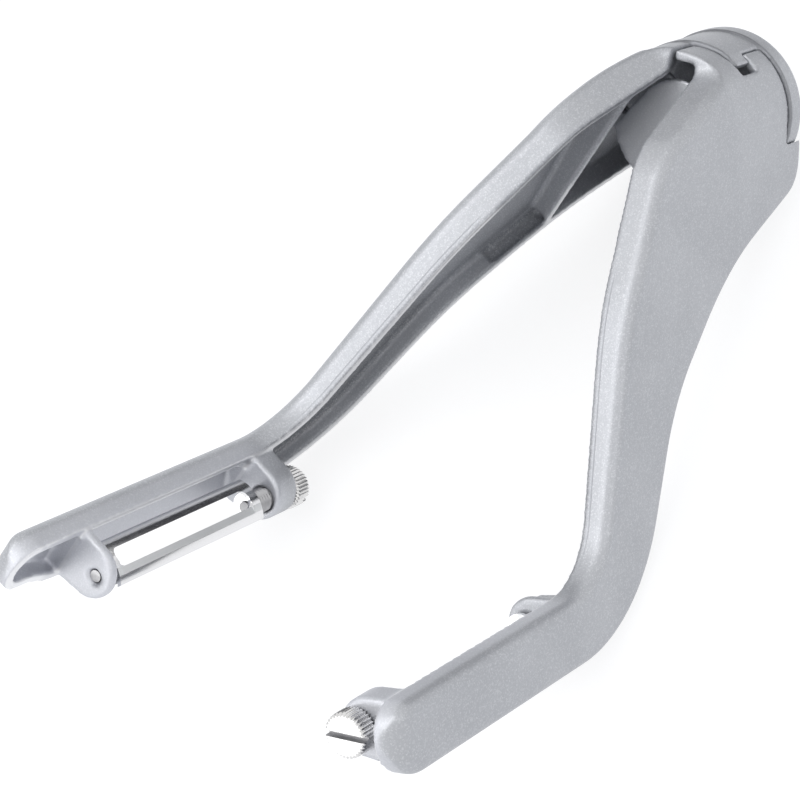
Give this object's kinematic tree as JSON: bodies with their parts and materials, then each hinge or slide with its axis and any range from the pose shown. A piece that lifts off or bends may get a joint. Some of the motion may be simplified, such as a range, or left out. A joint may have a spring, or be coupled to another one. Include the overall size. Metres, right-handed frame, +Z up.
{
  "type": "vegetable peeler",
  "caption": "Tong-shaped vegetable peeler with hollow cast arms on a sprung barrel hinge and swivelling slotted blades, held by pins and knurled thumb screws.",
  "frame": {"origin": "middle of the footprint of the open tong as it lies on its back, on the table", "axes": "+Z up; +X from the hinge towards the heads, along the table; +Y across, from the left arm to the right arm; the hinge axis lies in the XZ plane and rises towards the heads"},
  "size_m": [0.193, 0.0864, 0.0633],
  "materials": {
    "arms": "die-cast, fine silver metallic lacquer, satin",
    "blades": "polished stainless steel with a ground edge",
    "screws": "bright nickel plate",
    "pins": "drawn steel",
    "spring": "drawn spring wire",
    "bearings": "smooth moulded"
  },
  "bodies": {
    "left_arm_body": {"left_arm": "arms", "hinge_pin": "pins", "near_washer": "bearings", "far_washer": "bearings", "spring_bush": "bearings", "torsion_spring": "spring", "left_pivot_pin": "pins"},
    "right_arm_body": {"right_arm": "arms", "right_pivot_pin": "pins"},
    "left_blade_body": {"left_blade": "blades"},
    "right_blade_body": {"right_blade": "blades"},
    "left_screw_body": {"left_thumb_screw": "screws"},
    "right_screw_body": {"right_thumb_screw": "screws"}
  },
  "joints": [
    {"name": "arm_hinge", "type": "hinge", "parent": "left_arm_body", "child": "right_arm_body", "pos_m": [-0.07097, 0, 0.02501], "axis": [-0.7856, 0, -0.6187], "range_deg": [0, 34], "stiffness_Nm_per_rad": 0.12, "springref_deg": -20.05, "deforming": ["torsion_spring"]},
    {"name": "left_blade_swivel", "type": "hinge", "parent": "left_arm_body", "child": "left_blade_body", "pos_m": [0.06387, -0.0301, 0.03191], "axis": [0.7856, 0, 0.6187], "continuous": true},
    {"name": "right_blade_swivel", "type": "hinge", "parent": "right_arm_body", "child": "right_blade_body", "pos_m": [0.05829, 0.0301, 0.02752], "axis": [0.7856, 0, 0.6187], "continuous": true},
    {"name": "left_screw_turn", "type": "hinge", "parent": "left_arm_body", "child": "left_screw_body", "pos_m": [0.03598, -0.0301, 0.00995], "axis": [0.7856, 0, 0.6187], "continuous": true},
    {"name": "right_screw_turn", "type": "hinge", "parent": "right_arm_body", "child": "right_screw_body", "pos_m": [0.08618, 0.0301, 0.04949], "axis": [0.7856, 0, 0.6187], "continuous": true}
  ]
}
